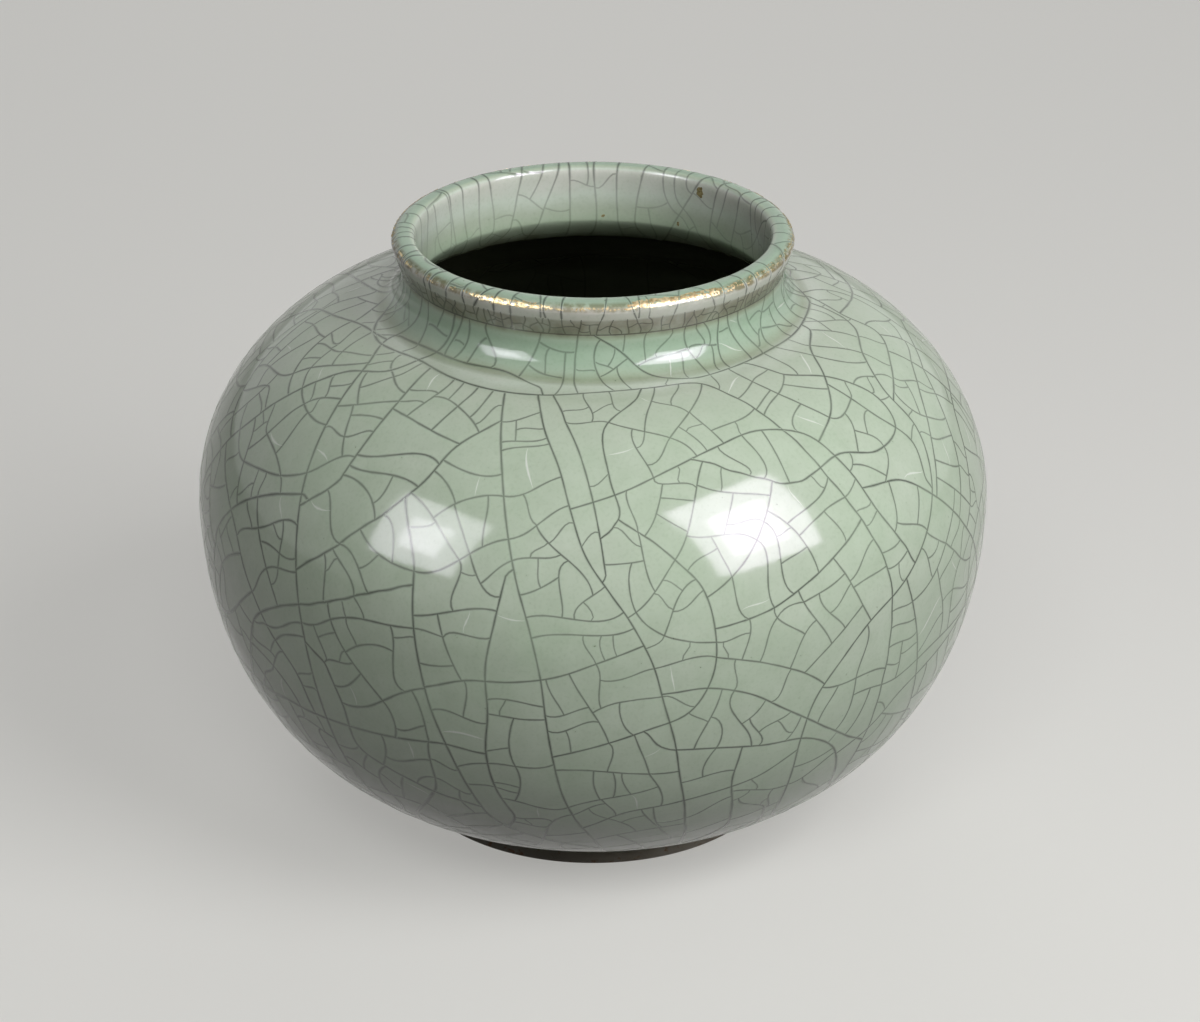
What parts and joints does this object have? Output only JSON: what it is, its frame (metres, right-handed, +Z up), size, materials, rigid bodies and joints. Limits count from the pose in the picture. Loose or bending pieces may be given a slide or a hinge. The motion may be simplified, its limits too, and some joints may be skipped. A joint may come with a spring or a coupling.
{
  "type": "crackle glazed jar",
  "caption": "Globular celadon crackle jar with a short hollowed neck, a rolled gilded lip and a bare foot ring; stands free and holds flowers, water or dry goods.",
  "frame": {"origin": "centre of the circle that the foot ring rests on", "axes": "+Z up along the axis of the jar; the jar is round, so X and Y are free"},
  "size_m": [0.22, 0.22, 0.1691],
  "materials": {
    "bare_clay": "matt, dry fired clay",
    "body_clay": "matt, hidden under the glaze",
    "celadon_glaze": "glossy, crackled",
    "worn_gold": "worn gilding"
  },
  "bodies": {
    "root": {"foot_ring": "bare_clay", "lower_body": "body_clay", "upper_body": "body_clay", "neck_collar": "body_clay", "base_glaze": "celadon_glaze", "inner_glaze": "celadon_glaze", "outer_glaze": "celadon_glaze", "lip_gilding": "worn_gold"}
  },
  "joints": []
}
